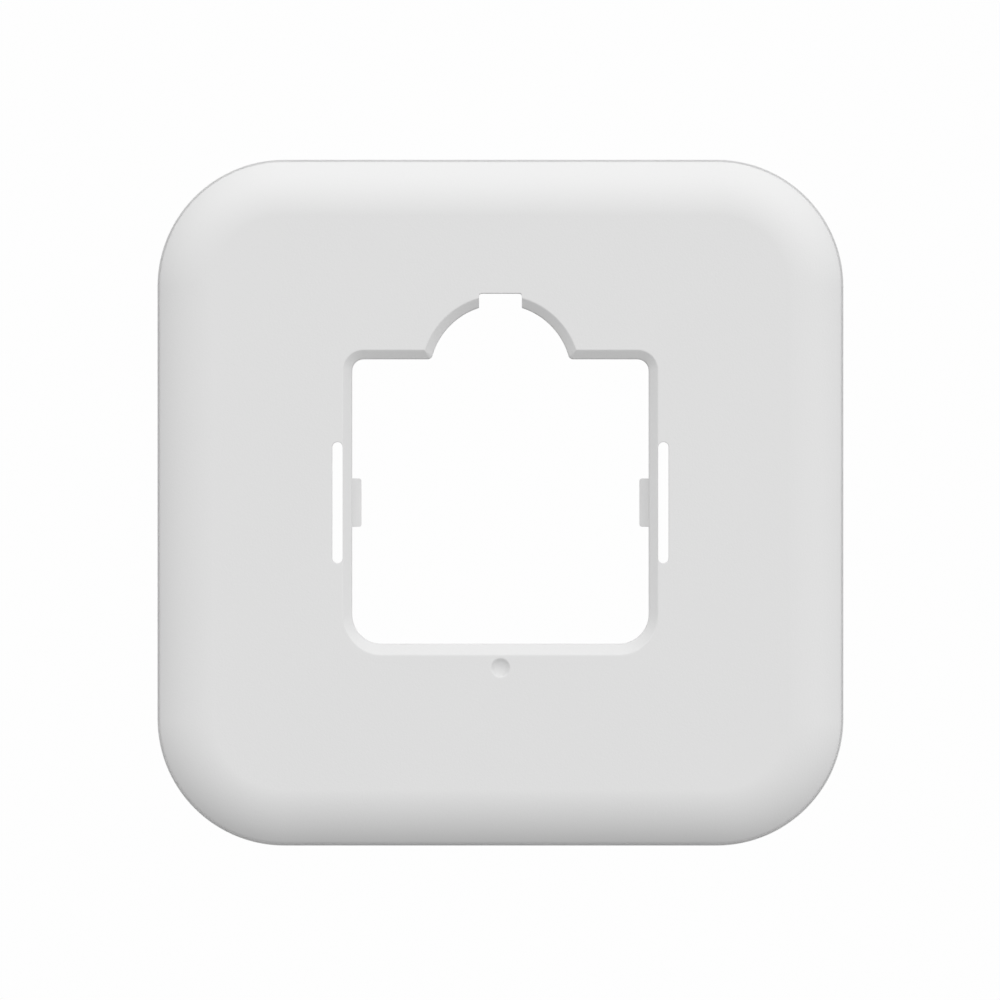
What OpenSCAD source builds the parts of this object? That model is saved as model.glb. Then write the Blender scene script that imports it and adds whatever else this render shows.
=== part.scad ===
// Push-on cover plate for a ceiling or wall box, with its base frame, clips and seal.
// Everything is drawn lying flat: x to the right, y up the face, and z the height off
// the mounting surface. to_wall() then stands it up, face towards -Y.

/* [Cover plate] */
// Overall width of the cover
cover_w = 125; // [104:1:150]
// Overall height of the cover
cover_h = 125; // [104:1:150]
// Height of the face above the mounting surface
cover_depth = 10; // [9.6:0.1:12]
// Radius of the outline's corners
corner_r = 23.1; // [19.5:0.1:27.5]
// Radius of the rolled shoulder, in section
shoulder_r = 12.7; // [10.6:0.1:15]
// How far round the shoulder rolls before the edge radius takes over, in degrees
shoulder_turn = 48.6; // [40.5:0.1:58]
// Radius from the shoulder down to the skirt, in section
edge_r = 3.6; // [3:0.1:4.3]
// Wall thickness of the cover
cover_wall = 2; // [1.7:0.1:2.4]
// Gap between the skirt and the mounting surface
skirt_gap = 0.5; // [0.4:0.1:1]

/* [Device opening] */
// Width of the opening
opening_w = 54; // [45:0.5:64]
// Height of the square part of the opening
opening_h = 51.8; // [43.5:0.1:61]
// Height of the opening's centre above the cover's centre
opening_rise = 0.2; // [0:0.1:2]
// Radius of the opening's top corners
top_corner_r = 2.1; // [1.7:0.1:2.6]
// Radius of the opening's bottom corners
bottom_corner_r = 5.4; // [4.5:0.1:6.5]
// Radius of the round lobe above the opening
lobe_r = 12.9; // [10.8:0.1:15.5]
// Depth of the lobe's centre below the opening's top edge
lobe_drop = 2.95; // [2:0.05:4]
// Width of the notch in the lobe's crown
notch_w = 7.8; // [6:0.1:9]
// Height of the notch above the lobe's crown
notch_h = 2; // [1.5:0.1:3]
// Radius of the notch's corners
notch_r = 0.5; // [0.3:0.1:0.8]
// Width of the chamfered rim
rim_chamfer = 1.6; // [1.3:0.05:1.6]
// Height of the collar's foot above the mounting surface
collar_foot = 2.6; // [2.4:0.1:3.2]
// Radius of the round dimple below the opening
dimple_r = 1.6; // [1.3:0.1:1.9]
// Depth of the dimple's straight wall, above its round bottom
dimple_lip = 0.4; // [0.3:0.1:0.6]
// Wall of the boss round and behind the dimple
boss_wall = 1.6; // [1.2:0.1:2]
// Distance from the opening's bottom edge to the dimple's centre
dimple_drop = 4.1; // [3.6:0.1:5]

/* [Latch arms] */
// Thickness of a latch arm
latch_t = 1.65; // [1.4:0.05:2]
// Width of the slot that the arm bends into
slot_w = 1.9; // [1.6:0.1:2.3]
// Length of the slot, over its round ends
slot_l = 22; // [18.5:0.5:26]
// Gap at each end of an arm
latch_gap = 0.25; // [0.2:0.05:0.3]
// Length of the hook along the arm
hook_l = 8.8; // [7.3:0.1:10.5]
// How far the hook stands into the opening
hook_reach = 1.7; // [1.4:0.1:2]
// Height of the hook's catching face
hook_catch = 3.9; // [3.4:0.1:4.4]
// Height of the flat nose of the hook
hook_nose = 0.6; // [0.5:0.1:0.8]
// Rise of the hook's lead-in ramp
hook_ramp = 0.8; // [0.6:0.1:1.5]

/* [Base frame] */
// Thickness of the base frame's plate
base_t = 2; // [1.8:0.1:2.4]
// Clearance between the base frame and the inside of the cover
base_gap = 0.3; // [0.25:0.05:0.4]
// Distance from the cover's outline in to the perimeter wall
wall_inset = 4.2; // [4:0.1:5]
// Thickness of the perimeter wall and of the clips cut from it
wall_t = 1.2; // [1:0.1:1.4]
// Height of the perimeter wall's top
wall_top = 5.2; // [5:0.1:5.4]
// Clear margin around the collar and slots, seen through the base frame
reveal = 3.4; // [3:0.1:4]
// Corner radius of the base frame's opening
base_opening_r = 5; // [4:0.5:6]
// Thickness of the rim round that opening
rim_t = 1.2; // [1:0.1:1.5]
// Gap between that rim and the underside of the cover's face
rim_gap = 0.6; // [0.5:0.1:1]
// Thickness of the stiffening ribs
rib_t = 1; // [0.8:0.1:1.2]
// Height of the base frame's ribs above its plate
rib_h = 2.2; // [1.8:0.1:2.5]
// Distance of the ribs from the centre lines
rib_at = 22; // [20:0.5:24]
// Gap between the cover's ribs and the base frame
rib_gap = 0.6; // [0.5:0.1:1]

/* [Screw places] */
// Distance between the centres of the two box-screw slots
box_slot_pitch = 86.1; // [84:0.1:88]
// Width of a box-screw slot
box_slot_w = 4.2; // [4:0.1:4.5]
// Length of a box-screw slot, over its round ends
box_slot_l = 7; // [6:0.1:8]
// Least wall between a box-screw slot and the opening's rim
box_slot_wall = 1.5; // [1:0.1:2]
// Distance from the cover's outline in to each corner screw hole
wall_hole_inset = 17.5; // [17:0.1:19]
// Radius of the corner screw holes
wall_hole_r = 2.25; // [2:0.05:2.5]
// Radius of their countersinks at the plate's front
countersink_r = 4; // [3.6:0.1:4.4]
// Depth of their countersinks
countersink_depth = 1.2; // [1:0.1:1.4]

/* [Clips] */
// Length of a clip arm from its root to its free end
clip_l = 18; // [15:0.5:21]
// Height of the clip arm's foot above the base frame's plate
clip_lift = 0.3; // [0.25:0.05:0.4]
// Clearance around the clip's rounded root
clip_root_gap = 0.1; // [0.08:0.01:0.12]
// Gap past the clip's free end
clip_end_gap = 0.4; // [0.3:0.1:0.6]
// Length of the bead near a clip's free end
bead_l = 6; // [5:0.1:7]
// Height of a clip's bead above its foot
bead_rise = 1; // [0.9:0.05:1.1]
// Thickness of a bead, along z
bead_t = 0.9; // [0.8:0.1:1]
// Depth of the cover's ledge
ledge_depth = 0.5; // [0.4:0.05:0.6]
// How much longer than a bead the cover's ledge is
ledge_extra = 6; // [4:1:8]
// Gap between a clip's bead and the cover's ledge
snap_gap = 0.15; // [0.12:0.01:0.2]

/* [Seal] */
// Distance from the base frame's edge in to the seal
seal_inset = 1.8; // [1.5:0.1:2.2]
// Width of the foam seal
seal_w = 5; // [4:0.1:6]
// Thickness of the foam seal
seal_t = 1; // [0.8:0.1:1.1]
// Gap between the seal and its groove
seal_gap = 0.05; // [0.03:0.01:0.1]

/* [Hidden] */
$fn = 64;
eps = 0.01;
far = 40;

face_z = cover_depth;
under_z = face_z - cover_wall;
corner_x = cover_w / 2 - corner_r;
corner_y = cover_h / 2 - corner_r;
// Section of the shoulder: the centres of its two arcs, from a corner's own centre.
shoulder_run = (shoulder_r - edge_r) * sin(shoulder_turn) + edge_r;
shoulder_x = corner_r - shoulder_run;
shoulder_z = face_z - shoulder_r;
edge_x = corner_r - edge_r;
edge_z = shoulder_z + (shoulder_r - edge_r) * cos(shoulder_turn);

opening_top = opening_rise + opening_h / 2;
opening_bottom = opening_rise - opening_h / 2;
lobe_y = opening_top - lobe_drop;
notch_top = lobe_y + lobe_r + notch_h;
dimple_y = opening_bottom - dimple_drop;
boss_r = dimple_r + boss_wall;

slot_x = opening_w / 2 + latch_t + slot_w / 2;
slot_straight = slot_l - slot_w;
latch_l = slot_straight - 2 * latch_gap;

base_w = cover_w - 2 * (cover_wall + base_gap);
base_h = cover_h - 2 * (cover_wall + base_gap);
base_corner_r = corner_r - cover_wall - base_gap;
base_opening_x = slot_x + slot_w / 2 + reveal;
base_opening_top = notch_top + reveal;
base_opening_bottom = dimple_y - boss_r - reveal / 2;

box_slot_x = max(box_slot_pitch / 2, base_opening_x + rim_t + box_slot_wall + box_slot_l / 2);

clip_foot = base_t + clip_lift;
bead_foot = clip_foot + bead_rise;
ledge_foot = clip_foot;
ledge_top = bead_foot - snap_gap;
ledge_l = bead_l + ledge_extra;
// Reach of a clip's bead beyond the arm's outer face.
bead_reach = wall_inset - cover_wall - ledge_depth - snap_gap;

// Stands the flat model up against a wall: face to -Y, top to +Z.
module to_wall() {
    rotate([90, 0, 0]) children();
}

// Outline of a rectangle with round corners, centred.
module round_rect(w, h, r) {
    square([w - 2 * r, h], center = true);
    square([w, h - 2 * r], center = true);
    for (sx = [-1, 1], sy = [-1, 1])
        translate([sx * (w / 2 - r), sy * (h / 2 - r)]) circle(r);
}

// Half section of the cover from a corner's centre outwards, taken in by a wall.
module edge_section(inset, back) {
    translate([0, -back]) square([shoulder_x, face_z - inset + back]);
    translate([0, -back]) square([corner_r - inset, edge_z + back]);
    translate([edge_x, edge_z]) circle(edge_r - inset);
    intersection() {
        translate([shoulder_x, shoulder_z]) circle(shoulder_r - inset, $fn = 128);
        polygon([[shoulder_x, shoulder_z], [shoulder_x, far],
                 [shoulder_x + far * sin(shoulder_turn), shoulder_z + far * cos(shoulder_turn)]]);
    }
}

// Domed block with the cover's outline, taken in all round by a wall.
module domed_block(inset, foot) {
    intersection() {
        union() {
            translate([-corner_x, -corner_y, -far])
                cube([2 * corner_x, 2 * corner_y, far + face_z - inset]);
            for (side = [0, 1, 2, 3]) {
                across = side % 2 == 0 ? corner_x : corner_y;
                along = side % 2 == 0 ? corner_y : corner_x;
                rotate([0, 0, 90 * side]) {
                    translate([across, along, 0]) rotate([90, 0, 0])
                        linear_extrude(2 * along) edge_section(inset, far);
                    translate([across, along, 0])
                        rotate_extrude(angle = 90) edge_section(inset, far);
                }
            }
        }
        translate([-cover_w, -cover_h, foot]) cube([2 * cover_w, 2 * cover_h, far]);
    }
}

// Outline of the device opening, grown all round.
module opening_outline(grow) {
    span = opening_w + 2 * grow;
    translate([-opening_w / 2 + top_corner_r, 0])
        square([opening_w - 2 * top_corner_r, opening_top + grow]);
    translate([-opening_w / 2 + bottom_corner_r, opening_bottom - grow])
        square([opening_w - 2 * bottom_corner_r, grow - opening_bottom + eps]);
    translate([-span / 2, opening_bottom + bottom_corner_r])
        square([span, opening_h - top_corner_r - bottom_corner_r]);
    for (sx = [-1, 1]) {
        translate([sx * (opening_w / 2 - top_corner_r), opening_top - top_corner_r])
            circle(top_corner_r + grow);
        translate([sx * (opening_w / 2 - bottom_corner_r), opening_bottom + bottom_corner_r])
            circle(bottom_corner_r + grow);
    }
    translate([0, lobe_y]) circle(lobe_r + grow);
}

// Outline of the straight notch in the lobe's crown, grown all round.
module notch_outline(grow) {
    foot = lobe_y;
    translate([0, (foot + notch_top + grow) / 2])
        round_rect(notch_w + 2 * grow, notch_top + grow - foot, notch_r);
}

// The wedge of material that the chamfered rim takes off.
module rim_cut() {
    run = rim_chamfer + eps;
    translate([0, 0, face_z - rim_chamfer]) {
        hull() for (sx = [-1, 1]) {
            translate([sx * (opening_w / 2 - top_corner_r), opening_top - top_corner_r, 0])
                cylinder(h = run, r1 = top_corner_r, r2 = top_corner_r + run, $fn = 32);
            translate([sx * (opening_w / 2 - bottom_corner_r), opening_bottom + bottom_corner_r, 0])
                cylinder(h = run, r1 = bottom_corner_r, r2 = bottom_corner_r + run, $fn = 32);
        }
        translate([0, lobe_y, 0]) cylinder(h = run, r1 = lobe_r, r2 = lobe_r + run, $fn = 96);
    }
}

// Slot with full round ends, as an outline standing along y.
module slot_outline(w, l) {
    square([w, l - w], center = true);
    for (sy = [-1, 1]) translate([0, sy * (l - w) / 2]) circle(w / 2);
}

module cover_plate() {
    color([0.9, 0.9, 0.89]) to_wall() difference() {
        union() {
            difference() {
                domed_block(0, skirt_gap);
                domed_block(cover_wall, -eps);
            }
            translate([0, 0, collar_foot]) linear_extrude(face_z - collar_foot - cover_wall / 2) {
                opening_outline(latch_t);
                notch_outline(latch_t);
            }
            translate([0, dimple_y, under_z - boss_wall]) cylinder(h = boss_wall + eps, r = boss_r);
            cover_ledges();
            cover_ribs();
        }
        translate([0, 0, -eps]) linear_extrude(face_z + 1) {
            opening_outline(0);
            notch_outline(0);
            for (sx = [-1, 1]) translate([sx * slot_x, 0]) {
                slot_outline(slot_w, slot_l);
                // The arm's own space, from the opening out to the slot.
                translate([-sx * (latch_t + slot_w) / 2, 0])
                    square([latch_t + slot_w, slot_straight], center = true);
            }
        }
        rim_cut();
        translate([0, dimple_y, face_z - dimple_lip]) {
            cylinder(h = dimple_lip + eps, r = dimple_r);
            sphere(dimple_r);
        }
    }
}

// Short ledges inside the skirt, one above each clip's bead.
module cover_ledges() {
    for (side = [0, 1, 2, 3]) {
        reach = (side % 2 == 0 ? cover_h : cover_w) / 2 - cover_wall;
        rotate([0, 0, 90 * side]) translate([0, reach - ledge_depth, ledge_foot])
            translate([-ledge_l / 2, 0, 0])
                cube([ledge_l, ledge_depth + eps, ledge_top - ledge_foot]);
    }
}

// Ribs under the cover's face, from just past the base frame's rim out to the skirt.
module cover_ribs() {
    foot = wall_top + rib_gap;
    intersection() {
        domed_block(cover_wall - eps, foot);
        for (sx = [-1, 1], sy = [-1, 1]) {
            start_x = base_opening_x + rim_t + rib_gap;
            start_y = (sy > 0 ? base_opening_top : -base_opening_bottom) + rim_t + rib_gap;
            translate([sx * (start_x + cover_w / 2) / 2, sy * rib_at, face_z / 2])
                cube([cover_w / 2 - start_x, rib_t, face_z], center = true);
            translate([sx * rib_at, sy * (start_y + cover_h / 2) / 2, face_z / 2])
                cube([rib_t, cover_h / 2 - start_y, face_z], center = true);
        }
    }
}

// Arm between the opening and its slot, with the hook that holds the device.
module latch_arm() {
    inner = opening_w / 2;
    outer = inner + latch_t;
    nose = hook_catch + hook_nose;
    slope = min(rim_chamfer, latch_t - 5 * eps);
    rotate([90, 0, 0]) translate([0, 0, -latch_l / 2]) linear_extrude(latch_l)
        polygon([[inner, collar_foot], [outer, collar_foot], [outer, face_z],
                 [inner + slope, face_z], [inner, face_z - slope]]);
    rotate([90, 0, 0]) translate([0, 0, -hook_l / 2]) linear_extrude(hook_l)
        polygon([[inner + eps, hook_catch], [inner - hook_reach, hook_catch],
                 [inner - hook_reach, nose], [inner, nose + hook_ramp],
                 [inner + eps, nose + hook_ramp]]);
}

module left_latch_arm() {
    color([0.88, 0.88, 0.87]) to_wall() mirror([1, 0, 0]) latch_arm();
}

module right_latch_arm() {
    color([0.88, 0.88, 0.87]) to_wall() latch_arm();
}

// Outline of the base frame's own opening, grown all round.
module base_opening_outline(grow) {
    mid = (base_opening_top + base_opening_bottom) / 2;
    translate([0, mid])
        round_rect(2 * (base_opening_x + grow), base_opening_top - base_opening_bottom + 2 * grow,
                   base_opening_r + grow);
}

// Distance from the centre out to the middle of the perimeter wall, for one side.
function wall_middle(side) = (side % 2 == 0 ? cover_h : cover_w) / 2 - wall_inset - wall_t / 2;

module base_frame() {
    color([0.78, 0.79, 0.79]) to_wall() difference() {
        union() {
            linear_extrude(base_t) round_rect(base_w, base_h, base_corner_r);
            translate([0, 0, base_t - eps]) linear_extrude(wall_top - base_t + eps) perimeter_outline();
            translate([0, 0, base_t - eps])
                linear_extrude(under_z - rim_gap - base_t + eps) base_opening_outline(rim_t);
            base_ribs();
        }
        translate([0, 0, -eps]) linear_extrude(face_z) base_opening_outline(0);
        translate([0, 0, -eps]) linear_extrude(seal_t + eps) seal_outline(0);
        for (side = [0, 1, 2, 3]) rotate([0, 0, 90 * side]) clip_space(wall_middle(side));
        for (sx = [-1, 1]) translate([sx * box_slot_x, 0, -eps])
            linear_extrude(base_t + 1) rotate(90) slot_outline(box_slot_w, box_slot_l);
        for (sx = [-1, 1], sy = [-1, 1])
            translate([sx * (cover_w / 2 - wall_hole_inset), sy * (cover_h / 2 - wall_hole_inset), 0])
                screw_hole();
    }
}

// Countersunk hole for a screw into the mounting surface.
module screw_hole() {
    translate([0, 0, -eps]) cylinder(h = base_t + 1, r = wall_hole_r);
    translate([0, 0, base_t - countersink_depth])
        cylinder(h = countersink_depth + eps, r1 = wall_hole_r, r2 = countersink_r);
}

// Outline of the wall that stands round the base frame, just inside the cover.
module perimeter_outline() {
    difference() {
        round_rect(cover_w - 2 * wall_inset, cover_h - 2 * wall_inset, corner_r - wall_inset);
        round_rect(cover_w - 2 * (wall_inset + wall_t), cover_h - 2 * (wall_inset + wall_t),
                   corner_r - wall_inset - wall_t);
    }
}

// Ribs from the opening's rim out to the perimeter wall.
module base_ribs() {
    for (sx = [-1, 1], sy = [-1, 1]) {
        start_x = base_opening_x + rim_t / 2;
        start_y = (sy > 0 ? base_opening_top : -base_opening_bottom) + rim_t / 2;
        end_x = cover_w / 2 - wall_inset - wall_t / 2;
        end_y = cover_h / 2 - wall_inset - wall_t / 2;
        rib_z = base_t - eps + rib_h / 2;
        translate([sx * (start_x + end_x) / 2, sy * rib_at, rib_z])
            cube([end_x - start_x, rib_t, rib_h], center = true);
        translate([sx * rib_at, sy * (start_y + end_y) / 2, rib_z])
            cube([rib_t, end_y - start_y, rib_h], center = true);
    }
}

// Room cut in the perimeter wall for a clip on the top side.
module clip_space(middle) {
    translate([-clip_l / 2, middle, base_t]) {
        translate([0, -wall_t, 0]) cube([clip_l + clip_end_gap, 2 * wall_t, far]);
        cylinder(h = far, r = wall_t / 2 + clip_root_gap);
    }
}

// Clip arm on the top side: a round root, a straight arm and an outward bead.
module clip(middle) {
    translate([-clip_l / 2, middle, clip_foot]) {
        cylinder(h = wall_top - clip_foot, r = wall_t / 2);
        translate([0, -wall_t / 2, 0]) cube([clip_l, wall_t, wall_top - clip_foot]);
        translate([clip_l - bead_l, wall_t / 2 - eps, bead_rise]) rotate([90, 0, 90])
            linear_extrude(bead_l)
                polygon([[0, 0], [bead_reach, 0], [bead_reach, bead_t / 3], [0, bead_t]]);
    }
}

module top_clip() {
    color([0.74, 0.75, 0.75]) to_wall() clip(wall_middle(0));
}

module left_clip() {
    color([0.74, 0.75, 0.75]) to_wall() rotate([0, 0, 90]) clip(wall_middle(1));
}

module bottom_clip() {
    color([0.74, 0.75, 0.75]) to_wall() rotate([0, 0, 180]) clip(wall_middle(2));
}

module right_clip() {
    color([0.74, 0.75, 0.75]) to_wall() rotate([0, 0, 270]) clip(wall_middle(3));
}

// Outline of the foam seal, taken in on both edges by a gap.
module seal_outline(gap) {
    near = seal_inset + gap;
    away = seal_inset + seal_w - gap;
    difference() {
        round_rect(base_w - 2 * near, base_h - 2 * near, base_corner_r - near);
        round_rect(base_w - 2 * away, base_h - 2 * away, base_corner_r - away);
    }
}

module seal_ring() {
    color([0.25, 0.25, 0.26]) to_wall() linear_extrude(seal_t - seal_gap) seal_outline(seal_gap);
}

cover_plate();
left_latch_arm();
right_latch_arm();
base_frame();
top_clip();
left_clip();
bottom_clip();
right_clip();
seal_ring();
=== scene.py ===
import math
import bmesh
import bpy
from mathutils import Matrix, Vector


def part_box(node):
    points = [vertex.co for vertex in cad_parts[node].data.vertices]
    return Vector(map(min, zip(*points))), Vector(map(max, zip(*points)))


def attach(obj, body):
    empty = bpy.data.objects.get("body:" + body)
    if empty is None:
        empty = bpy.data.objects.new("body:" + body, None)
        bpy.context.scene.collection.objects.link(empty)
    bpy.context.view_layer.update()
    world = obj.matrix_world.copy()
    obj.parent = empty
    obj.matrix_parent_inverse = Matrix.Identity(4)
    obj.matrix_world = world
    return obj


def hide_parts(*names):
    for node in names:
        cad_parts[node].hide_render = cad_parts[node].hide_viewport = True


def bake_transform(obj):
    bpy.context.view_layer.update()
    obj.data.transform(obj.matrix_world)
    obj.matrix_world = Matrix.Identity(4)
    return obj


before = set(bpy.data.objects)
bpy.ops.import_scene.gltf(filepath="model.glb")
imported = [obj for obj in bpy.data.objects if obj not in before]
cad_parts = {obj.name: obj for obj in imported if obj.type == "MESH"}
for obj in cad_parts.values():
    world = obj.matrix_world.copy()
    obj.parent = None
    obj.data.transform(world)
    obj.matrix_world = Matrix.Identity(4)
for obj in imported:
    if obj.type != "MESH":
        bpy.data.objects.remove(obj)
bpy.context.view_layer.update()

mm = 0.001
quarterTurn = math.pi / 2
spare = 1.0              # how far cutting tools and guide points reach past a surface, in mm
tiny = 0.001             # two drawn points closer than this are the same, in mm
mergeGap = 0.0005        # points closer than this are merged, in mm
sharpAngle = 40          # edges that turn by more degrees than this stay sharp
print("frame loaded:", len(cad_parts), "nodes")


# Pieces are drawn lying flat, in millimetres: x to the right, y up the face and the height off
# the mounting surface as z. standUp() then turns them face outwards and brings them to metres.

def vertsOf(geometry):
    return [item for item in geometry if isinstance(item, bmesh.types.BMVert)]


def edgesOf(geometry):
    return [item for item in geometry if isinstance(item, bmesh.types.BMEdge)]


def arcPoints(centre, radius, start, end, steps):
    angles = [start + (end - start) * i / steps for i in range(steps + 1)]
    return [(centre[0] + radius * math.cos(a), centre[1] + radius * math.sin(a)) for a in angles]


# Rounds the corners of an open section; each point is (along, height, reach of the rounding).
def softened(points, steps=3):
    result = [tuple(points[0][:2])]
    for before, here, after in zip(points, points[1:], points[2:]):
        corner = Vector(here[:2])
        toBefore = Vector(before[:2]) - corner
        toAfter = Vector(after[:2]) - corner
        reach = min(here[2], 0.45 * toBefore.length, 0.45 * toAfter.length)
        if reach < tiny:
            result.append(tuple(corner))
            continue
        first = corner + toBefore.normalized() * reach
        last = corner + toAfter.normalized() * reach
        for i in range(steps + 1):
            t = i / steps
            result.append(tuple(first * (1 - t) ** 2 + corner * 2 * t * (1 - t) + last * t * t))
    result.append(tuple(points[-1][:2]))
    return result


# The same for a section that closes on itself.
def softenedLoop(points, steps=3):
    middle = tuple((Vector(points[-1][:2]) + Vector(points[0][:2])) / 2)
    return softened([middle, *points, middle], steps)[:-1]


def addRing(mesh, points, height):
    verts = [mesh.verts.new((x, y, height)) for x, y in points]
    return [mesh.edges.new((a, b)) for a, b in zip(verts, verts[1:] + verts[:1])]


# Joins a stack of rings, each (points, height), into a tube, with its ends closed if asked.
def loft(mesh, rings, capped=False):
    made = [addRing(mesh, points, height) for points, height in rings]
    for near, beyond in zip(made, made[1:]):
        bmesh.ops.bridge_loops(mesh, edges=near + beyond)
    if capped:
        bmesh.ops.holes_fill(mesh, edges=made[0] + made[-1], sides=0)


# Carries a section round a rounded rectangle: one corner is spun, its two sides are drawn out
# to the middle lines, and the quarter is mirrored. Section points are (radius at the corner,
# height).
def sweepAround(mesh, section, cornerX, cornerY, steps, closed=False):
    verts = [mesh.verts.new((cornerX + radius, cornerY, height)) for radius, height in section]
    pairs = list(zip(verts, verts[1:] + (verts[:1] if closed else [])))
    wire = [mesh.edges.new(pair) for pair in pairs]
    side = bmesh.ops.extrude_edge_only(mesh, edges=wire)
    bmesh.ops.translate(mesh, vec=(0, -cornerY, 0), verts=vertsOf(side["geom"]))
    swept = bmesh.ops.spin(mesh, geom=verts + wire, cent=(cornerX, cornerY, 0), axis=(0, 0, 1),
                           dvec=(0, 0, 0), angle=quarterTurn, steps=steps, use_merge=False)
    top = bmesh.ops.extrude_edge_only(mesh, edges=edgesOf(swept["geom_last"]))
    bmesh.ops.translate(mesh, vec=(-cornerX, 0, 0), verts=vertsOf(top["geom"]))
    for axis in "XY":
        everything = mesh.verts[:] + mesh.edges[:] + mesh.faces[:]
        bmesh.ops.mirror(mesh, geom=everything, merge_dist=mergeGap, axis=axis)
    bmesh.ops.remove_doubles(mesh, verts=mesh.verts, dist=mergeGap)


# Closes each open loop with a flat face.
def closeLoops(mesh):
    rim = [edge for edge in mesh.edges if edge.is_boundary]
    bmesh.ops.holes_fill(mesh, edges=rim, sides=0)


# Makes the flat between two open loops that lie at one height.
def bridgeFlat(mesh, height):
    rim = [edge for edge in mesh.edges
           if edge.is_boundary and all(abs(v.co.z - height) < tiny for v in edge.verts)]
    bmesh.ops.bridge_loops(mesh, edges=rim)


# Solid bar: an outline of (x, height) drawn out along y, in as many steps as it has to bend.
def addBar(mesh, outline, near, beyond, steps=1):
    verts = [mesh.verts.new((x, near, height)) for x, height in outline]
    face = mesh.faces.new(verts)
    stride = (0, (beyond - near) / steps, 0)
    bmesh.ops.spin(mesh, geom=[face], cent=(0, 0, 0), axis=(0, 1, 0), dvec=stride, angle=0,
                   steps=steps, use_merge=False)


# Solid of revolution about a line along z; section points are (radius, height).
def addTurned(mesh, section, centre, steps=48):
    verts = [mesh.verts.new((centre[0] + radius, centre[1], height)) for radius, height in section]
    wire = [mesh.edges.new(pair) for pair in zip(verts, verts[1:])]
    bmesh.ops.spin(mesh, geom=verts + wire, cent=(*centre, 0), axis=(0, 0, 1), dvec=(0, 0, 0),
                   angle=4 * quarterTurn, steps=steps, use_merge=True)
    bmesh.ops.remove_doubles(mesh, verts=mesh.verts, dist=mergeGap)


# Copies one mesh into another and throws the first away.
def joinInto(mesh, other):
    data = bpy.data.meshes.new("joining")
    other.to_mesh(data)
    other.free()
    mesh.from_mesh(data)
    bpy.data.meshes.remove(data)


def turnFlat(mesh, quarters):
    turn = Matrix.Rotation(quarters * quarterTurn, 3, "Z")
    bmesh.ops.rotate(mesh, cent=(0, 0, 0), matrix=turn, verts=mesh.verts)


def standUp(mesh):
    turn = Matrix.Rotation(quarterTurn, 3, "X")
    bmesh.ops.rotate(mesh, cent=(0, 0, 0), matrix=turn, verts=mesh.verts)
    bmesh.ops.scale(mesh, vec=(mm, mm, mm), verts=mesh.verts)


def makeObject(name, mesh):
    standUp(mesh)
    bmesh.ops.recalc_face_normals(mesh, faces=mesh.faces)
    if mesh.calc_volume(signed=True) < 0:
        bmesh.ops.reverse_faces(mesh, faces=mesh.faces)
    data = bpy.data.meshes.new(name)
    mesh.to_mesh(data)
    mesh.free()
    piece = bpy.data.objects.new(name, data)
    bpy.context.scene.collection.objects.link(piece)
    return piece


# Cuts or joins the solids of a second mesh into a piece.
def combine(piece, mesh, operation):
    tool = makeObject("tool", mesh)
    change = piece.modifiers.new("combine", "BOOLEAN")
    change.operation = operation
    change.solver = "EXACT"
    change.object = tool
    bpy.context.view_layer.update()
    shaped = piece.evaluated_get(bpy.context.evaluated_depsgraph_get())
    data = bpy.data.meshes.new_from_object(shaped)
    piece.modifiers.clear()
    piece.data = data
    bpy.data.objects.remove(tool)


# Marks the sharp edges, lets the large flats rule the shading and gives the piece its material.
def finishPiece(piece, material):
    mesh = bmesh.new()
    mesh.from_mesh(piece.data)
    bmesh.ops.remove_doubles(mesh, verts=mesh.verts, dist=2e-7)
    limit = math.radians(sharpAngle)
    for face in mesh.faces:
        face.smooth = True
    for edge in mesh.edges:
        edge.smooth = len(edge.link_faces) == 2 and edge.calc_face_angle(0) < limit
    mesh.to_mesh(piece.data)
    mesh.free()
    piece.data.name = piece.name
    piece.data.materials.clear()
    piece.data.materials.append(material)
    weighted = piece.modifiers.new("weightedNormals", "WEIGHTED_NORMAL")
    weighted.mode = "FACE_AREA"
    weighted.keep_sharp = True
    print("made", piece.name, "with", len(piece.data.polygons), "faces")


cameraView = {
    "frameWidth": 0.1821,      # width of the view at the cover's edge
    "edgeDepth": 0.0065,       # how far that edge lies behind the face
    "lens": 400,
    "sensor": 36,
    "aside": -0.00008,         # where the middle of the view falls on the cover
    "above": 0.00047,
}

coverLow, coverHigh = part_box("cover_plate")


def makeCamera():
    data = bpy.data.cameras.new("camera")
    data.lens = cameraView["lens"]
    data.sensor_width = cameraView["sensor"]
    data.clip_end = 100
    camera = bpy.data.objects.new("camera", data)
    bpy.context.scene.collection.objects.link(camera)
    distance = cameraView["frameWidth"] * cameraView["lens"] / cameraView["sensor"]
    edgePlane = coverLow.y + cameraView["edgeDepth"]
    camera.location = (cameraView["aside"], edgePlane - distance, cameraView["above"])
    camera.rotation_euler = (quarterTurn, 0, 0)
    bpy.context.scene.camera = camera


studio = {
    "ambient": 0.825,
    "slope": (0.161, -0.273, 0.607),   # how the dome brightens to the right, front and top
    "strength": 0.95,
    "flagLevel": 0.03,                 # dimmer band of the dome beside and behind the plate
    "flagDepth": (0.30, 0.5),
    "flagFade": (0.06, 0.12),
    "rearLevel": 1.25,
    "backdrop": 0.99,
}


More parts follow.
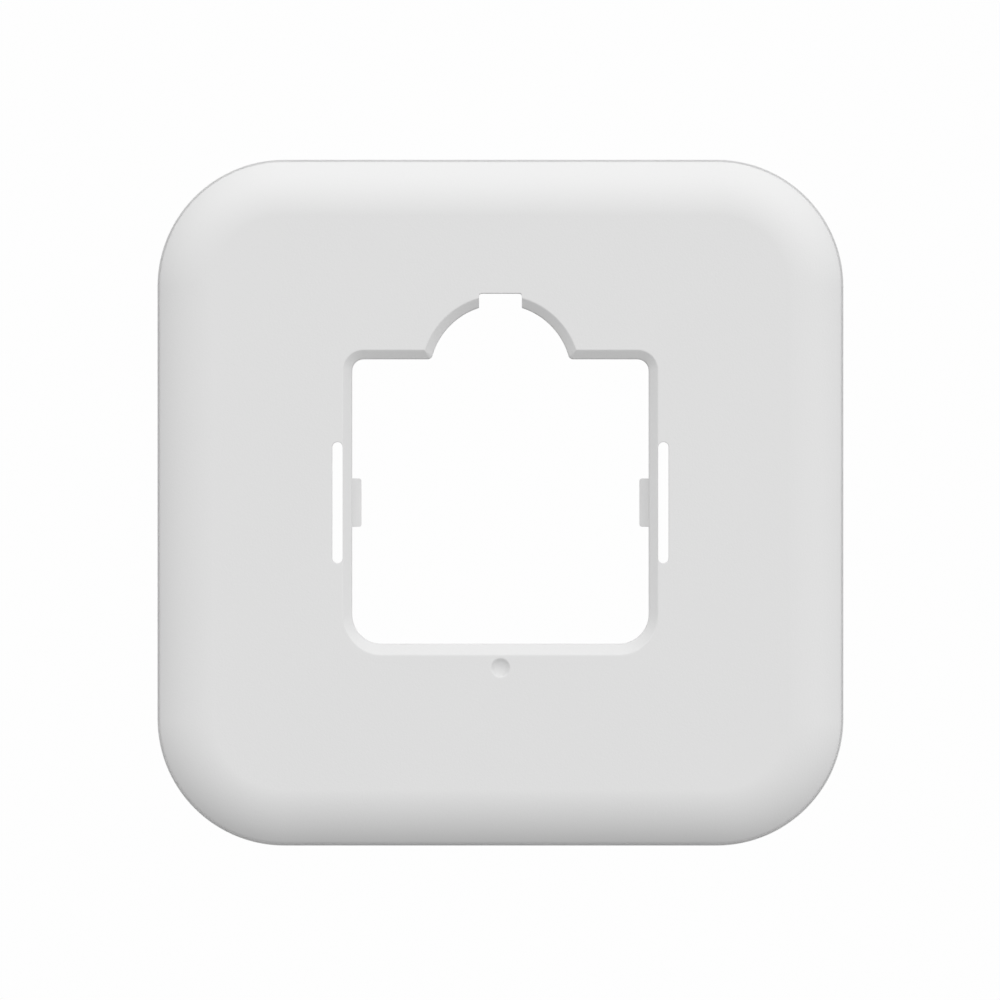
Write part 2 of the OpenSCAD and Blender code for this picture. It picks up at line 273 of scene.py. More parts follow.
# A soft dome that is brighter overhead, with an even white backdrop behind the object.
def makeStudio():
    world = bpy.data.worlds.new("studio")
    bpy.context.scene.world = world
    world.use_nodes = True
    nodes, links = world.node_tree.nodes, world.node_tree.links
    nodes.clear()
    place = nodes.new("ShaderNodeTexCoord")
    lean = nodes.new("ShaderNodeVectorMath")
    lean.operation = "DOT_PRODUCT"
    lean.inputs[1].default_value = studio["slope"]
    level = nodes.new("ShaderNodeMath")
    level.operation = "ADD"
    level.inputs[1].default_value = studio["ambient"]
    power = nodes.new("ShaderNodeMath")
    power.operation = "MULTIPLY"
    power.inputs[1].default_value = studio["strength"]
    split = nodes.new("ShaderNodeSeparateXYZ")
    flag = nodes.new("ShaderNodeValToRGB")
    near, far = studio["flagDepth"]
    fadeIn, fadeOut = studio["flagFade"]
    steps = ((0, 1), (near, 1), (near + fadeIn, studio["flagLevel"]), (far, studio["flagLevel"]),
             (far + fadeOut, studio["rearLevel"]))
    for index, (depth, shade) in enumerate(steps):
        if index < 2:
            stop = flag.color_ramp.elements[index]
            stop.position = depth
        else:
            stop = flag.color_ramp.elements.new(depth)
        stop.color = (shade, shade, shade, 1)
    dome = nodes.new("ShaderNodeBackground")
    links.new(place.outputs["Generated"], split.inputs["Vector"])
    links.new(split.outputs["Y"], flag.inputs["Fac"])
    links.new(flag.outputs["Color"], dome.inputs["Color"])
    backdrop = nodes.new("ShaderNodeBackground")
    backdrop.inputs["Color"].default_value = (1, 1, 1, 1)
    backdrop.inputs["Strength"].default_value = studio["backdrop"]
    seen = nodes.new("ShaderNodeLightPath")
    mix = nodes.new("ShaderNodeMixShader")
    out = nodes.new("ShaderNodeOutputWorld")
    links.new(place.outputs["Generated"], lean.inputs[0])
    links.new(lean.outputs["Value"], level.inputs[0])
    links.new(level.outputs["Value"], power.inputs[0])
    links.new(power.outputs["Value"], dome.inputs["Strength"])
    links.new(seen.outputs["Is Camera Ray"], mix.inputs["Fac"])
    links.new(dome.outputs["Background"], mix.inputs[1])
    links.new(backdrop.outputs["Background"], mix.inputs[2])
    links.new(mix.outputs["Shader"], out.inputs["Surface"])
    bpy.context.scene.view_settings.view_transform = "Standard"
    bpy.context.scene.view_settings.look = "None"


floorSheet = {"radius": 0.9, "below": 0.16, "tone": 0.9}


def makeFloor():
    mesh = bmesh.new()
    bmesh.ops.create_circle(mesh, cap_ends=True, radius=floorSheet["radius"], segments=96)
    bmesh.ops.translate(mesh, vec=(0, 0, coverLow.z - floorSheet["below"]), verts=mesh.verts)
    data = bpy.data.meshes.new("studio_floor")
    mesh.to_mesh(data)
    mesh.free()
    floor = bpy.data.objects.new("studio_floor", data)
    bpy.context.scene.collection.objects.link(floor)
    floor.visible_diffuse = False
    floor.visible_glossy = False
    paint = bpy.data.materials.new("floorPaint")
    paint.use_nodes = True
    shader = paint.node_tree.nodes["Principled BSDF"]
    shader.inputs["Base Color"].default_value = (floorSheet["tone"],) * 3 + (1,)
    shader.inputs["Roughness"].default_value = 0.9
    data.materials.append(paint)


makeCamera()
makeStudio()
makeFloor()
print("camera, dome and floor ready")


# Fine spark-eroded grain of a moulding: the colour drifts a little, the gloss varies and the
# skin is pebbled.
def makeMouldedSkin():
    group = bpy.data.node_groups.new("mouldedSkin", "ShaderNodeTree")
    sockets = group.interface
    for name, kind, value in (
        ("Colour", "NodeSocketColor", (0.8, 0.8, 0.8, 1)),
        ("Drift", "NodeSocketFloat", 0.02),
        ("Grain Size", "NodeSocketFloat", 0.25),
        ("Grain Depth", "NodeSocketFloat", 0.2),
        ("Gloss Low", "NodeSocketFloat", 0.4),
        ("Gloss High", "NodeSocketFloat", 0.55),
    ):
        socket = sockets.new_socket(name=name, in_out="INPUT", socket_type=kind)
        socket.default_value = value
    sockets.new_socket(name="Colour", in_out="OUTPUT", socket_type="NodeSocketColor")
    sockets.new_socket(name="Roughness", in_out="OUTPUT", socket_type="NodeSocketFloat")
    sockets.new_socket(name="Normal", in_out="OUTPUT", socket_type="NodeSocketVector")
    nodes, links = group.nodes, group.links
    given = nodes.new("NodeGroupInput")
    result = nodes.new("NodeGroupOutput")
    place = nodes.new("ShaderNodeTexCoord")

    grainRate = nodes.new("ShaderNodeMath")       # features per metre from a size in millimetres
    grainRate.operation = "DIVIDE"
    grainRate.inputs[0].default_value = 1000
    links.new(given.outputs["Grain Size"], grainRate.inputs[1])

    grain = nodes.new("ShaderNodeTexNoise")
    grain.inputs["Detail"].default_value = 3
    grain.inputs["Roughness"].default_value = 0.6
    links.new(place.outputs["Object"], grain.inputs["Vector"])
    links.new(grainRate.outputs["Value"], grain.inputs["Scale"])

    flow = nodes.new("ShaderNodeTexNoise")        # broad, faint flow marks
    flow.inputs["Scale"].default_value = 38
    flow.inputs["Detail"].default_value = 4
    flow.inputs["Distortion"].default_value = 0.4
    links.new(place.outputs["Object"], flow.inputs["Vector"])

    both = nodes.new("ShaderNodeMix")
    both.data_type = "FLOAT"
    both.inputs["Factor"].default_value = 0.35
    links.new(flow.outputs["Fac"], both.inputs["A"])
    links.new(grain.outputs["Fac"], both.inputs["B"])

    centred = nodes.new("ShaderNodeMath")
    centred.operation = "SUBTRACT"
    centred.inputs[1].default_value = 0.5
    links.new(both.outputs["Result"], centred.inputs[0])
    shift = nodes.new("ShaderNodeMath")
    shift.operation = "MULTIPLY_ADD"
    shift.inputs[2].default_value = 1
    links.new(centred.outputs["Value"], shift.inputs[0])
    links.new(given.outputs["Drift"], shift.inputs[1])
    tint = nodes.new("ShaderNodeVectorMath")
    tint.operation = "SCALE"
    links.new(given.outputs["Colour"], tint.inputs["Vector"])
    links.new(shift.outputs["Value"], tint.inputs["Scale"])
    links.new(tint.outputs["Vector"], result.inputs["Colour"])

    gloss = nodes.new("ShaderNodeMapRange")
    gloss.inputs["From Min"].default_value = 0.35
    gloss.inputs["From Max"].default_value = 0.65
    links.new(both.outputs["Result"], gloss.inputs["Value"])
    links.new(given.outputs["Gloss Low"], gloss.inputs["To Min"])
    links.new(given.outputs["Gloss High"], gloss.inputs["To Max"])
    links.new(gloss.outputs["Result"], result.inputs["Roughness"])

    pebble = nodes.new("ShaderNodeBump")
    pebble.inputs["Distance"].default_value = 0.00004
    links.new(given.outputs["Grain Depth"], pebble.inputs["Strength"])
    links.new(grain.outputs["Fac"], pebble.inputs["Height"])
    links.new(pebble.outputs["Normal"], result.inputs["Normal"])
    return group


mouldedSkin = makeMouldedSkin()


def mouldedPlastic(name, finish):
    material = bpy.data.materials.new(name)
    material.use_nodes = True
    nodes, links = material.node_tree.nodes, material.node_tree.links
    shader = nodes["Principled BSDF"]
    shader.inputs["IOR"].default_value = finish["ior"]
    shader.inputs["Specular IOR Level"].default_value = finish["specular"]
    skin = nodes.new("ShaderNodeGroup")
    skin.node_tree = mouldedSkin
    skin.inputs["Colour"].default_value = (*finish["colour"], 1)
    skin.inputs["Drift"].default_value = finish["drift"]
    skin.inputs["Grain Size"].default_value = finish["grainSize"]
    skin.inputs["Grain Depth"].default_value = finish["grainDepth"]
    skin.inputs["Gloss Low"].default_value = finish["gloss"][0]
    skin.inputs["Gloss High"].default_value = finish["gloss"][1]
    links.new(skin.outputs["Colour"], shader.inputs["Base Color"])
    links.new(skin.outputs["Roughness"], shader.inputs["Roughness"])
    links.new(skin.outputs["Normal"], shader.inputs["Normal"])
    return material


coverFinish = {
    "colour": (0.775, 0.775, 0.775), "drift": 0.03, "grainSize": 0.38, "grainDepth": 0.5,
    "gloss": (0.42, 0.55), "ior": 1.5, "specular": 0.4,
}
frameFinish = {
    "colour": (0.56, 0.57, 0.575), "drift": 0.05, "grainSize": 0.35, "grainDepth": 0.35,
    "gloss": (0.38, 0.52), "ior": 1.5, "specular": 0.5,
}
coverPlastic = mouldedPlastic("coverPlastic", coverFinish)
framePlastic = mouldedPlastic("framePlastic", frameFinish)
clipPlastic = mouldedPlastic("clipPlastic", {**frameFinish, "colour": (0.53, 0.54, 0.545)})


foamFinish = {"cell": (0.054, 0.054, 0.0576, 1), "wall": (0.018, 0.018, 0.0192, 1),
              "cellSize": 0.45, "depth": 0.8}


# Closed-cell foam: small round cells with darker walls between them.
def makeFoam():
    material = bpy.data.materials.new("sealFoam")
    material.use_nodes = True
    nodes, links = material.node_tree.nodes, material.node_tree.links
    shader = nodes["Principled BSDF"]
    shader.inputs["Roughness"].default_value = 0.95
    shader.inputs["Specular IOR Level"].default_value = 0.2
    place = nodes.new("ShaderNodeTexCoord")
    cells = nodes.new("ShaderNodeTexVoronoi")
    cells.inputs["Scale"].default_value = 1000 / foamFinish["cellSize"]
    links.new(place.outputs["Object"], cells.inputs["Vector"])
    ramp = nodes.new("ShaderNodeValToRGB")
    ramp.color_ramp.elements[0].color = foamFinish["cell"]
    ramp.color_ramp.elements[1].color = foamFinish["wall"]
    links.new(cells.outputs["Distance"], ramp.inputs["Fac"])
    links.new(ramp.outputs["Color"], shader.inputs["Base Color"])
    dent = nodes.new("ShaderNodeBump")
    dent.inputs["Strength"].default_value = foamFinish["depth"]
    dent.inputs["Distance"].default_value = 0.0002
    links.new(cells.outputs["Distance"], dent.inputs["Height"])
    links.new(dent.outputs["Normal"], shader.inputs["Normal"])
    return material


sealFoam = makeFoam()
print("materials ready")


cover = {
    "cornerRadius": 23.1,
    "shoulderRadius": 12.7,
    "shoulderTurn": math.radians(48.6),
    "edgeRadius": 3.6,
    "wall": 2.0,
    "cornerSteps": 30,
    "shoulderSteps": 18,
    "edgeSteps": 8,
    "footRound": 0.3,
    "stepWidth": 0.54,         # fine grooved step round the skirt's foot, seen as a thin dark line
    "stepHeight": 2.0,
    "lipWidth": 0.15,
    "lipRise": 0.2,
    "lipRound": 0.03,
}
opening = {
    "width": 54.0,
    "height": 51.8,
    "rise": 0.2,
    "topRadius": 2.1,
    "bottomRadius": 5.4,
    "lobeRadius": 12.9,
    "lobeDrop": 2.95,
    "lobeBlend": 0.9,
    "leastBlend": 0.15,
    "notchWidth": 7.8,
    "notchHeight": 2.0,
    "notchRadius": 0.5,
    "chamfer": 1.6,
    "lowChamfer": 1.95,        # the same along the bottom edge, seen from the front
    "edgeRound": 0.16,
    "collarFillet": 0.27,
    "collarSunk": 0.4,         # how far the collar's block reaches into the face
}
latch = {
    "thickness": 1.65,
    "slotWidth": 1.9,
    "slotLength": 22.0,
    "hookLength": 8.8,
    "hookReach": 1.7,
    "hookSunk": 0.6,           # how far the hook's block reaches into the arm
    "catchHeight": 3.9,
    "noseHeight": 0.6,
    "rampHeight": 0.8,
    "cornerRound": 0.45,       # of the hook's two free corners, seen from the front
    "edgeRound": 0.12,
    "cutInside": 3.0,          # how far the cut for an arm reaches into the opening
    "rigidHalf": 5.0,          # half length of the stretch round the hook that doesn't bend
    "bendSteps": 8,
}
dimple = {"radius": 1.7, "bowlRadius": 1.83, "drop": 4.3, "edgeRound": 0.2,
          "bossWall": 1.5, "bossRound": 0.3, "bossSunk": 0.5}
coverRib = {"thickness": 1.0, "offset": 22.0, "startX": 35.75, "startY": (36.5, 43.25),
            "foot": 5.8}
ledge = {"depth": 0.5, "length": 12.0, "foot": 2.3, "top": 3.15, "sunk": 0.5, "soft": 0.12}

halfWidth = coverHigh.x / mm
halfHeight = coverHigh.z / mm
faceHeight = -coverLow.y / mm
footHeight = -coverHigh.y / mm
underHeight = faceHeight - cover["wall"]
latchLow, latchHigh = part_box("right_latch_arm")
collarFoot = -latchHigh.y / mm
cornerX = halfWidth - cover["cornerRadius"]
cornerY = halfHeight - cover["cornerRadius"]

openingHalf = opening["width"] / 2
openingTop = opening["rise"] + opening["height"] / 2
openingBottom = opening["rise"] - opening["height"] / 2
lobeHeight = openingTop - opening["lobeDrop"]
notchTop = lobeHeight + opening["lobeRadius"] + opening["notchHeight"]
dimpleY = openingBottom - dimple["drop"]
slotX = openingHalf + latch["thickness"] + latch["slotWidth"] / 2
slotStraight = (latch["slotLength"] - latch["slotWidth"]) / 2

bigRadius, smallRadius, rollTurn = cover["shoulderRadius"], cover["edgeRadius"], cover["shoulderTurn"]
shoulderRun = (bigRadius - smallRadius) * math.sin(rollTurn) + smallRadius
shoulderCentre = (cover["cornerRadius"] - shoulderRun, faceHeight - bigRadius)
edgeCentre = (cover["cornerRadius"] - smallRadius,
              shoulderCentre[1] + (bigRadius - smallRadius) * math.cos(rollTurn))


# Section of the domed cover from its skirt up to the flat face, taken in by a wall.
def domeSection(inset, step=0):
    meet = quarterTurn - rollTurn
    start = math.acos(1 - step / (smallRadius - inset))      # where a skirt set in by a step meets the roll
    edge = arcPoints(edgeCentre, smallRadius - inset, start, meet, cover["edgeSteps"])
    shoulder = arcPoints(shoulderCentre, bigRadius - inset, meet, quarterTurn, cover["shoulderSteps"])
    return edge[:-1] + shoulder


# Outline of the device opening, grown outwards; the notch in its crown and the bottom edge keep
# to their own growth.
def openingOutline(grow, notchGrow, lowGrow):
    lobeRadius = opening["lobeRadius"] + grow
    blend = max(opening["lobeBlend"] - grow, opening["leastBlend"])
    blendY = openingTop + grow + blend
    blendX = math.sqrt((lobeRadius + blend) ** 2 - (blendY - lobeHeight) ** 2)
    lean = math.atan2(blendY - lobeHeight, blendX)
    notchX = opening["notchWidth"] / 2 + notchGrow
    notchRadius = opening["notchRadius"] + notchGrow
    low, high = opening["bottomRadius"], opening["topRadius"]
    right = [(openingHalf - low + (low + grow) * x, openingBottom + low + (low + lowGrow) * y)
             for x, y in arcPoints((0, 0), 1, -quarterTurn, 0, 14)]
    right += arcPoints((openingHalf - high, openingTop - high), high + grow, 0, quarterTurn, 10)
    right += arcPoints((blendX, blendY), blend, 3 * quarterTurn, 2 * quarterTurn + lean, 6)[:-1]
    right += arcPoints((0, lobeHeight), lobeRadius, lean, math.acos(notchX / lobeRadius), 26)
    notchCorner = (notchX - notchRadius, notchTop + notchGrow - notchRadius)
    right += arcPoints(notchCorner, notchRadius, 0, quarterTurn, 5)
    return right + [(-x, y) for x, y in reversed(right)]


def domedShell():
    radius, wall, soft = cover["cornerRadius"], cover["wall"], cover["footRound"]
    step, fine = cover["stepHeight"], cover["lipRound"]
    lipTop, lipInner = step + cover["lipRise"], radius - cover["lipWidth"]
    upper = radius - cover["stepWidth"]
    skirt = [(radius - wall, footHeight + spare, 0), (radius - wall, footHeight, soft),
             (radius, footHeight, soft), (radius, lipTop, fine), (lipInner, lipTop, fine),
             (lipInner, step, fine), (upper, step, fine), (upper, step + spare, 0)]
    section = domeSection(wall)[::-1] + softened(skirt)[1:-1] + domeSection(0, cover["stepWidth"])
    mesh = bmesh.new()
    sweepAround(mesh, section, cornerX, cornerY, cover["cornerSteps"])
    closeLoops(mesh)
    return makeObject("cover_shell", mesh)


# The collar that stands behind the face round the opening.
def collarTool():
    wall, soft = latch["thickness"], opening["edgeRound"]
    profile = softened([(wall - spare, collarFoot, 0), (wall, collarFoot, soft),
                        (wall, underHeight, opening["collarFillet"]), (wall + spare, underHeight, 0)])
    mesh = bmesh.new()
    rings = [(openingOutline(grow, grow, grow), height) for grow, height in profile[1:-1]]
    loft(mesh, rings + [(rings[-1][0], underHeight + opening["collarSunk"])], capped=True)
    return mesh


# Cuts the opening through, with its chamfered rim.
def openingTool():
    chamfer, soft = opening["chamfer"], opening["edgeRound"]
    profile = softened([(soft, collarFoot - spare, 0), (soft, collarFoot, 0), (0, collarFoot + soft, 0),
                        (0, faceHeight - chamfer, soft), (chamfer, faceHeight, soft),
                        (chamfer + spare, faceHeight, 0)])[:-1]
    mesh = bmesh.new()
    lowRatio = opening["lowChamfer"] / chamfer
    rings = [(openingOutline(grow, 0, lowRatio * grow), height) for grow, height in profile]
    loft(mesh, rings + [(rings[-1][0], faceHeight + spare)], capped=True)
    return mesh


# What is moulded on behind the face: ribs, the ledges that the clips catch and the dimple's boss.
def coverRibTools():
    low, high = coverRib["startY"]
    starts = (coverRib["startX"], high, coverRib["startX"], low)
    mesh = bmesh.new()
    for quarters in range(4):
        for side in (1, -1):
            start = starts[quarters]
            half = (halfWidth, halfHeight)[quarters % 2]
            offset = half - cover["cornerRadius"]
            roof = [(offset + r, h) for r, h in domeSection(cover["wall"] / 2) if h > coverRib["foot"]]
            outline = [(start, coverRib["foot"]), (roof[0][0], coverRib["foot"]), *roof,
                       (start, roof[-1][1])]
            bar = bmesh.new()
            addBar(bar, outline, -coverRib["thickness"] / 2, coverRib["thickness"] / 2)
            bmesh.ops.translate(bar, vec=(0, side * coverRib["offset"], 0), verts=bar.verts)
            turnFlat(bar, quarters)
            joinInto(mesh, bar)
    return mesh


def coverLedgeTools():
    mesh = bmesh.new()
    wallFace = halfWidth - cover["wall"]
    sunk, tip = wallFace + ledge["sunk"], wallFace - ledge["depth"]
    outline = softened([(sunk, ledge["foot"], 0), (tip, ledge["foot"], ledge["soft"]),
                        (tip, ledge["top"], ledge["soft"]), (sunk, ledge["top"], 0)])
    for quarters in range(4):
        bar = bmesh.new()
        addBar(bar, outline, -ledge["length"] / 2, ledge["length"] / 2)
        turnFlat(bar, quarters)
        joinInto(mesh, bar)
    return mesh


def dimpleBossTool():
    radius = dimple["radius"] + dimple["bossWall"]
    foot, top = underHeight - dimple["bossWall"], underHeight + dimple["bossSunk"]
    section = softened([(0, foot, 0), (radius, foot, dimple["bossRound"]), (radius, top, 0)])
    mesh = bmesh.new()
    addTurned(mesh, section + [(0, top)], (0, dimpleY))
    return mesh


def dimpleCutTool():
    radius, bowlRadius, soft = dimple["radius"], dimple["bowlRadius"], dimple["edgeRound"]
    centre = (0, faceHeight + math.sqrt(bowlRadius ** 2 - radius ** 2))
    bowl = arcPoints(centre, bowlRadius, -quarterTurn, -math.acos(radius / bowlRadius), 16)
    edge = softened([(*bowl[-5], 0), (radius, faceHeight, soft), (radius + spare, faceHeight, 0)])[1:-1]
    section = bowl[:-4] + edge + [(radius + soft, faceHeight + spare), (0, faceHeight + spare)]
    mesh = bmesh.new()
    addTurned(mesh, section, (0, dimpleY))
    return mesh


# The slot and the latch arm's own space beside it, flared a little where they reach the face.
def latchSpaceTool(side):
    soft = latch["edgeRound"]
    profile = [(0, 0), (0, faceHeight - soft)]
    profile += [(soft * (1 - math.cos(a)), faceHeight - soft + soft * math.sin(a))
                for a in (quarterTurn / 3, 2 * quarterTurn / 3, quarterTurn)]
    profile.append((soft, faceHeight + spare))
    radius = latch["slotWidth"] / 2
    inside = openingHalf - latch["cutInside"]
    rings = []
    for grow, height in profile:
        low = arcPoints((slotX, -slotStraight), radius + grow, -2 * quarterTurn, 0, 14)
        high = arcPoints((slotX, slotStraight), radius + grow, 0, 2 * quarterTurn, 14)
        outline = [(inside, -slotStraight), *low, *high, (inside, slotStraight)]
        rings.append(([(side * x, y) for x, y in outline], height))
    mesh = bmesh.new()
    loft(mesh, rings, capped=True)
    return mesh


coverShell = domedShell()
combine(coverShell, collarTool(), "UNION")
combine(coverShell, coverRibTools(), "UNION")
combine(coverShell, coverLedgeTools(), "UNION")
combine(coverShell, dimpleBossTool(), "UNION")
combine(coverShell, openingTool(), "DIFFERENCE")
combine(coverShell, dimpleCutTool(), "DIFFERENCE")
for side in (1, -1):
    combine(coverShell, latchSpaceTool(side), "DIFFERENCE")
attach(coverShell, "cover")
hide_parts("cover_plate")
finishPiece(coverShell, coverPlastic)


# Section of a latch arm, which carries on the opening's chamfer.
def armSection():
    inner, outer = openingHalf, openingHalf + latch["thickness"]
    soft = opening["edgeRound"]
    return softenedLoop([
        (inner, collarFoot, soft), (outer, collarFoot, soft), (outer, faceHeight, latch["edgeRound"]),
        (inner + opening["chamfer"], faceHeight, 0), (inner, faceHeight - opening["chamfer"], soft)])


def hookSection():
    inner, catch = openingHalf, latch["catchHeight"]
    nose = catch + latch["noseHeight"]
    tip, sunk = inner - latch["hookReach"], inner + latch["hookSunk"]
    rampTop = nose + latch["rampHeight"]
    return [(sunk, catch), (tip, catch), (tip, nose), (inner, rampTop), (sunk, rampTop)]


def makeLatch(side, name):
    rigid = latch["rigidHalf"]
    mesh = bmesh.new()
    addBar(mesh, armSection(), -rigid, rigid)
    hook = makeObject(name + "_latch_hook", mesh)
    nib = bmesh.new()
    addBar(nib, hookSection(), -latch["hookLength"] / 2, latch["hookLength"] / 2)
    tip = openingHalf - latch["hookReach"]
    corners = [edge for edge in nib.edges if all(abs(v.co.x - tip) < tiny for v in edge.verts)
               and abs(edge.verts[0].co.y - edge.verts[1].co.y) < tiny]
    bmesh.ops.bevel(nib, geom=corners, offset=latch["cornerRound"], affect="EDGES", segments=4,
                    profile=0.5, material=-1, clamp_overlap=True)
    bmesh.ops.bevel(nib, geom=nib.edges[:], offset=latch["edgeRound"], affect="EDGES", segments=2,
                    profile=0.5, material=-1, clamp_overlap=True)
    # both hooks are joined as the right one and mirrored afterwards, so that they are alike
    combine(hook, nib, "UNION")
    hook.data.transform(Matrix.Diagonal((side, 1, 1, 1)))
    if side < 0:
        hook.data.flip_normals()
    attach(hook, name + "_latch")
    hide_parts(name + "_latch_arm")
    finishPiece(hook, coverPlastic)
    for end, where in ((1, "upper"), (-1, "lower")):
        mesh = bmesh.new()
        addBar(mesh, armSection(), end * rigid, end * slotStraight, latch["bendSteps"])
        bmesh.ops.scale(mesh, vec=(side, 1, 1), verts=mesh.verts)
        strip = makeObject(name + "_latch_" + where, mesh)
        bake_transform(strip)
        finishPiece(strip, coverPlastic)


makeLatch(-1, "left")
makeLatch(1, "right")


base = {
    "thickness": 2.0,
    "edgeX": 60.2,
    "edgeRadius": 20.8,
    "wallRadius": 18.9,        # outer face of the perimeter wall, from a corner's centre
    "wall": 1.2,
    "wallTop": 5.2,
    "grooveNear": 1.8,
    "grooveWidth": 5.0,
    "grooveDepth": 1.0,
    "openingX": 33.95,
    "openingY": (-34.7, 41.45),
    "openingRadius": 5.0,
    "rim": 1.2,
    "rimTop": 7.4,
    "soft": 0.18,
    "rootFillet": 0.35,
}
baseRib = {"thickness": 1.0, "offset": 22.0, "height": 2.2, "sunk": 0.55, "soft": 0.15}
screwHole = {"place": 45.0, "radius": 2.25, "headRadius": 4.0, "headDepth": 1.2, "soft": 0.12}
boxSlot = {"place": 43.05, "width": 4.2, "length": 7.0, "soft": 0.12}
pinMark = {"radius": 1.75, "depth": 0.07,
           "places": [(24, 48), (24, -45), (44, 25), (44, -25)]}
clip = {
    "root": 9.3,               # where the arm leaves the wall
    "free": -9.0,
    "endGap": 0.4,
    "lift": 0.3,
    "bendLength": 3.0,
    "bendSteps": 18,
    "beadInset": 0.02,         # from the arm's free end
    "beadLength": 6.0,
    "beadRise": 1.0,
    "beadThickness": 0.9,
    "beadReach": 1.55,
    "beadRound": 0.08,
    "beadSunk": 0.4,           # how far the bead's block reaches into the arm
    "clearAbove": 8.0,
    "soft": 0.14,
}


def baseBody():
    edge, wallOuter = base["edgeRadius"], base["wallRadius"]
    wallInner = wallOuter - base["wall"]
    grooveOuter = edge - base["grooveNear"]
    grooveInner = grooveOuter - base["grooveWidth"]
    flat = grooveInner - spare
    top, soft = base["thickness"], base["soft"]
    outer = softened([
        (flat, 0, 0), (grooveInner, 0, soft), (grooveInner, base["grooveDepth"], soft),
        (grooveOuter, base["grooveDepth"], soft), (grooveOuter, 0, soft), (edge, 0, soft),
        (edge, top, soft), (wallOuter, top, base["rootFillet"]), (wallOuter, base["wallTop"], soft),
        (wallInner, base["wallTop"], soft), (wallInner, top, base["rootFillet"]), (flat, top, 0)])
    mesh = bmesh.new()
    sweepAround(mesh, outer, base["edgeX"] - edge, base["edgeX"] - edge, cover["cornerSteps"])
    # The opening's own edge and the rim that stands round it.
    low, high = base["openingY"]
    radius, rim = base["openingRadius"], base["rim"]
    inner = softened([
        (radius + rim + spare, 0, 0), (radius, 0, soft), (radius, base["rimTop"], soft),
        (radius + rim, base["rimTop"], soft), (radius + rim, top, base["rootFillet"]),
        (radius + rim + spare, top, 0)])
    neck = bmesh.new()
    sweepAround(neck, inner, base["openingX"] - radius, (high - low) / 2 - radius, cover["cornerSteps"])
    bmesh.ops.translate(neck, vec=(0, (high + low) / 2, 0), verts=neck.verts)
    joinInto(mesh, neck)
    bridgeFlat(mesh, 0)
    bridgeFlat(mesh, top)
    return makeObject("base_bracket", mesh)


def baseRibTools():
    mesh = bmesh.new()
    wallMiddle = base["edgeX"] - base["edgeRadius"] + base["wallRadius"] - base["wall"] / 2
    starts = (base["openingX"], base["openingY"][1], base["openingX"], -base["openingY"][0])
    half = baseRib["thickness"] / 2
    foot, top = base["thickness"] - baseRib["sunk"], base["thickness"] + baseRib["height"]
    soft = baseRib["soft"]
    section = softened([(-half, foot, 0), (-half, top, soft), (half, top, soft), (half, foot, 0)])
    for quarters, start in enumerate(starts):
        for side in (1, -1):
            bar = bmesh.new()
            addBar(bar, section, start + base["rim"] / 2, wallMiddle)
            bmesh.ops.translate(bar, vec=(side * baseRib["offset"], 0, 0), verts=bar.verts)
            turnFlat(bar, quarters - 1)
            joinInto(mesh, bar)
    return mesh


def screwHoleTools():
    radius, head, soft = screwHole["radius"], screwHole["headRadius"], screwHole["soft"]
    top = base["thickness"]
    sink = top - screwHole["headDepth"]
    flare = (head - radius) / (top - sink)
    section = [(0, soft - spare), (radius + spare, soft - spare), (radius, soft), (radius, sink),
               (head + flare, top + spare), (0, top + spare)]
    mesh = bmesh.new()
    for sx in (-1, 1):
        for sy in (-1, 1):
            hole = bmesh.new()
            addTurned(hole, section, (sx * screwHole["place"], sy * screwHole["place"]))
            joinInto(mesh, hole)
    return mesh


def boxSlotTools():
    soft, top = boxSlot["soft"], base["thickness"]
    radius = boxSlot["width"] / 2
    reach = boxSlot["length"] / 2 - radius
    mesh = bmesh.new()
    for sx in (-1, 1):
        rings = []
        centre = sx * boxSlot["place"]
        for grow, height in ((spare, soft - spare), (0, soft), (0, top - soft),
                             (spare, top - soft + spare)):
            outline = arcPoints((centre + reach, 0), radius + grow, -quarterTurn, quarterTurn, 16)
            outline += arcPoints((centre - reach, 0), radius + grow, quarterTurn, 3 * quarterTurn, 16)
            rings.append((outline, height))
        slot = bmesh.new()
        loft(slot, rings, capped=True)
        joinInto(mesh, slot)
    return mesh


def pinMarkTools():
    radius, depth = pinMark["radius"], pinMark["depth"]
    section = [(0, depth - spare), (radius + spare, depth - spare), (radius, depth), (0, depth)]
    mesh = bmesh.new()
    for x, y in pinMark["places"]:
        for sx in (-1, 1):
            mark = bmesh.new()
            addTurned(mark, section, (sx * x, y), 32)
            joinInto(mesh, mark)
    return mesh


# The gaps in the perimeter wall that the clip arms stand in.
def clipSpaceTools():
    middle = base["edgeX"] - base["edgeRadius"] + base["wallRadius"] - base["wall"] / 2
    half = base["wall"]
    top = base["thickness"]
    above = top + clip["clearAbove"]
    outline = [(middle - half, top), (middle + half, top), (middle + half, above),
               (middle - half, above)]
    mesh = bmesh.new()
    for quarters in range(4):
        bar = bmesh.new()
        addBar(bar, outline, clip["free"] - clip["endGap"], clip["root"])
        turnFlat(bar, quarters)
        joinInto(mesh, bar)
    return mesh


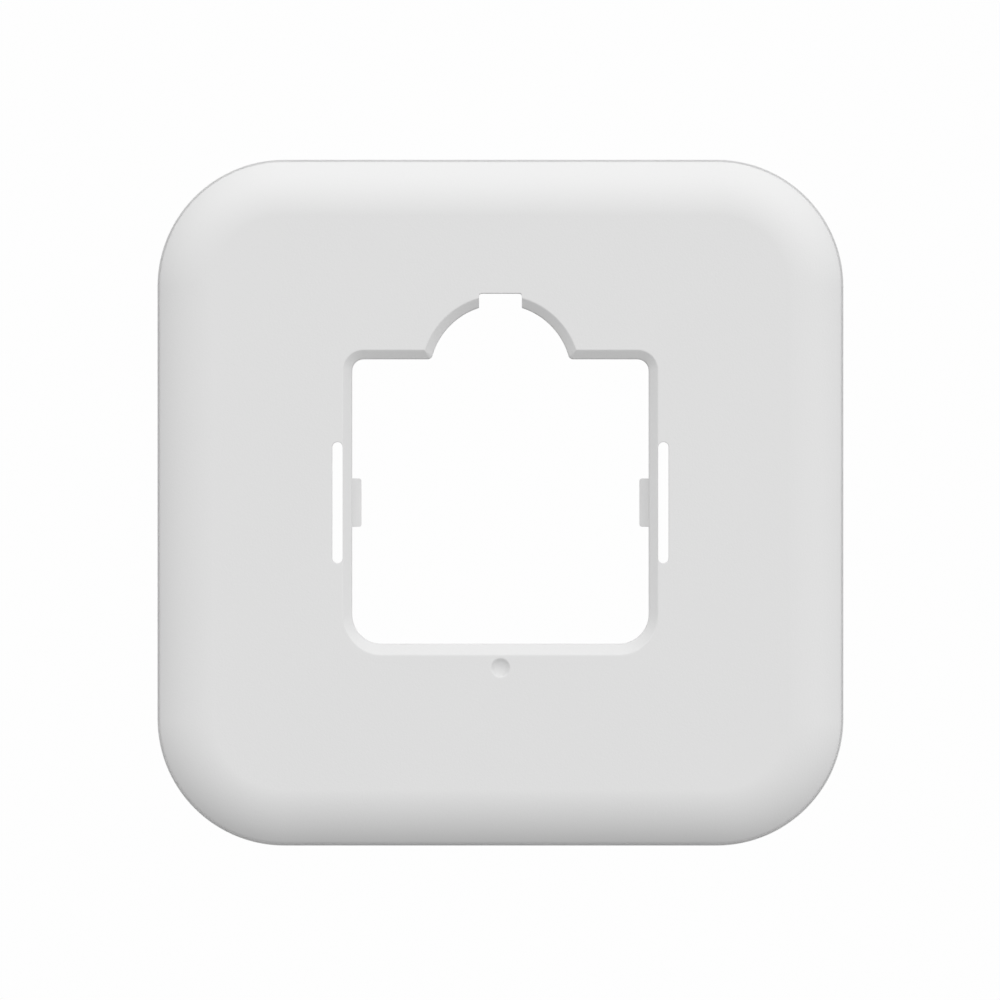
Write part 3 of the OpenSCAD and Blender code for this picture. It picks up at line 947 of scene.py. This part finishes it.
baseBracket = baseBody()
combine(baseBracket, baseRibTools(), "UNION")
combine(baseBracket, screwHoleTools(), "DIFFERENCE")
combine(baseBracket, boxSlotTools(), "DIFFERENCE")
combine(baseBracket, pinMarkTools(), "DIFFERENCE")
combine(baseBracket, clipSpaceTools(), "DIFFERENCE")
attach(baseBracket, "base")
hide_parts("base_frame")
finishPiece(baseBracket, framePlastic)


# A spring arm that leaves the wall at its root, with a bead near its free end. It is drawn on
# the right-hand side and turned to its own.
def makeClip(name, quarters):
    outer = base["edgeX"] - base["edgeRadius"] + base["wallRadius"]
    inner = outer - base["wall"]
    foot, top, soft = base["thickness"] + clip["lift"], base["wallTop"], clip["soft"]
    section = softenedLoop([(inner, foot, soft), (outer, foot, soft), (outer, top, soft),
                            (inner, top, soft)])
    mesh = bmesh.new()
    addBar(mesh, section, clip["free"], clip["root"], clip["bendSteps"])
    turnFlat(mesh, quarters)
    arm = makeObject(name + "_clip_arm", mesh)
    low = foot + clip["beadRise"]
    reach = outer + clip["beadReach"]
    sunk = outer - clip["beadSunk"]
    outline = [(sunk, low), (reach, low), (reach, low + clip["beadThickness"] / 3),
               (outer, low + clip["beadThickness"]), (sunk, low + clip["beadThickness"])]
    bead = bmesh.new()
    addBar(bead, outline, clip["free"] + clip["beadInset"], clip["free"] + clip["beadLength"])
    bmesh.ops.bevel(bead, geom=bead.edges[:], offset=clip["beadRound"], affect="EDGES",
                    segments=2, profile=0.5, material=-1, clamp_overlap=True)
    turnFlat(bead, quarters)
    combine(arm, bead, "UNION")
    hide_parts(name + "_clip")
    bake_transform(arm)
    finishPiece(arm, clipPlastic)


for quarters, name in enumerate(("right", "top", "left", "bottom")):
    makeClip(name, quarters)


seal = {"near": 1.85, "width": 4.9, "thickness": 0.95, "soft": 0.2}


def makeSeal():
    outer = base["edgeRadius"] - seal["near"]
    inner = outer - seal["width"]
    section = softenedLoop([(inner, 0, seal["soft"]), (outer, 0, seal["soft"]),
                            (outer, seal["thickness"], seal["soft"]),
                            (inner, seal["thickness"], seal["soft"])])
    mesh = bmesh.new()
    corner = base["edgeX"] - base["edgeRadius"]
    sweepAround(mesh, section, corner, corner, 20, closed=True)
    piece = makeObject("foam_seal", mesh)
    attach(piece, "base")
    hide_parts("seal_ring")
    finishPiece(piece, sealFoam)


makeSeal()
